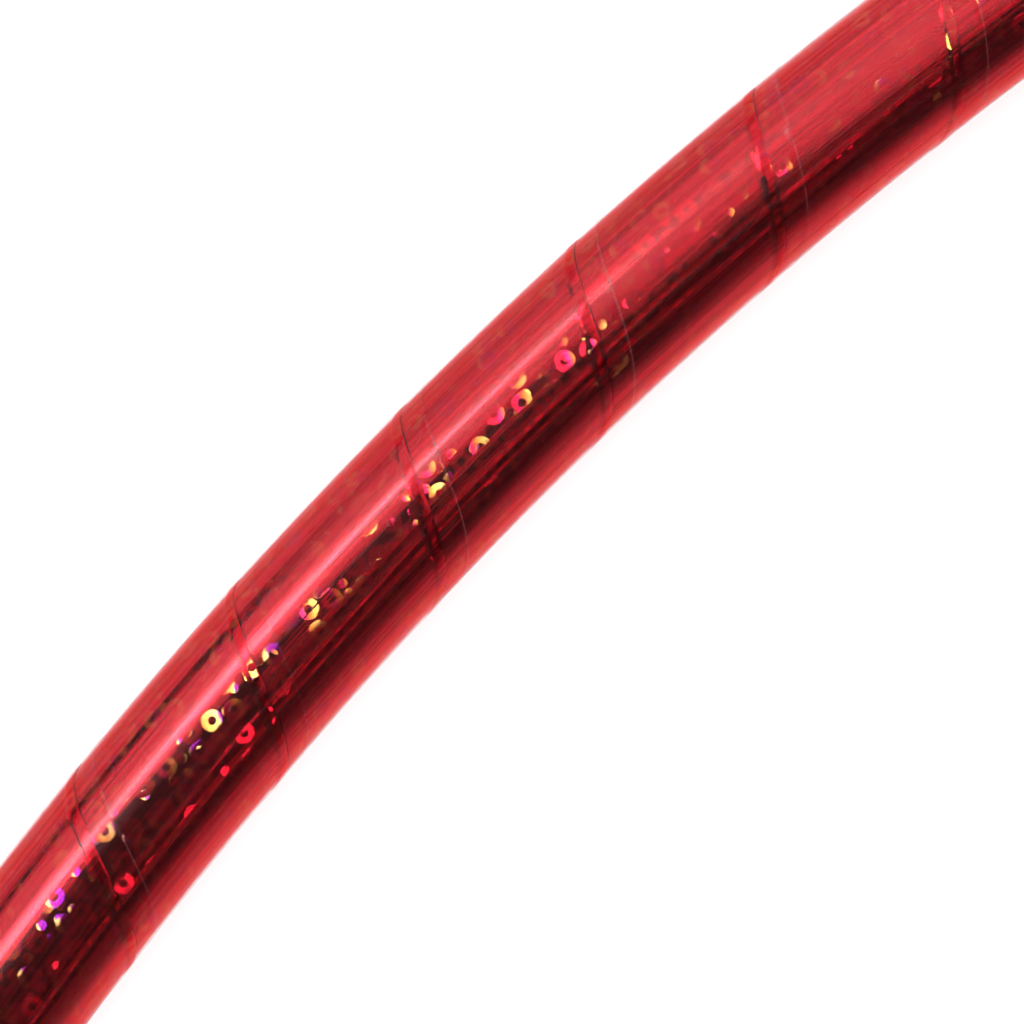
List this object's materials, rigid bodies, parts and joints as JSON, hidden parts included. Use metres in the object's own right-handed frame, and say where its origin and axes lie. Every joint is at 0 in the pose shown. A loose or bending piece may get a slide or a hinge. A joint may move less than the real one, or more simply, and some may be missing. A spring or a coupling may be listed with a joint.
{
  "type": "rhythmic gymnastics hoop",
  "caption": "Rigid ring of plastic tube, joined by an inner riveted plug and wrapped in holographic foil tape under clear film, for rolling, throwing and passing through.",
  "frame": {"origin": "middle of the ring, on the plane that it rests on when it lies flat", "axes": "+Z along the ring's axis; the tube's joint is at azimuth -45 degrees, between +X and -Y"},
  "size_m": [0.932, 0.932, 0.016],
  "materials": {
    "tube_plastic": "satin",
    "plug_plastic": "satin",
    "rivet_metal": "satin",
    "red_foil": "gloss",
    "clear_film": "polished"
  },
  "bodies": {
    "root": {"hoop_tube": "tube_plastic", "joint_plug": "plug_plastic", "joint_rivet_1": "rivet_metal", "joint_rivet_2": "rivet_metal", "foil_tape": "red_foil", "clear_film": "clear_film"}
  },
  "joints": []
}
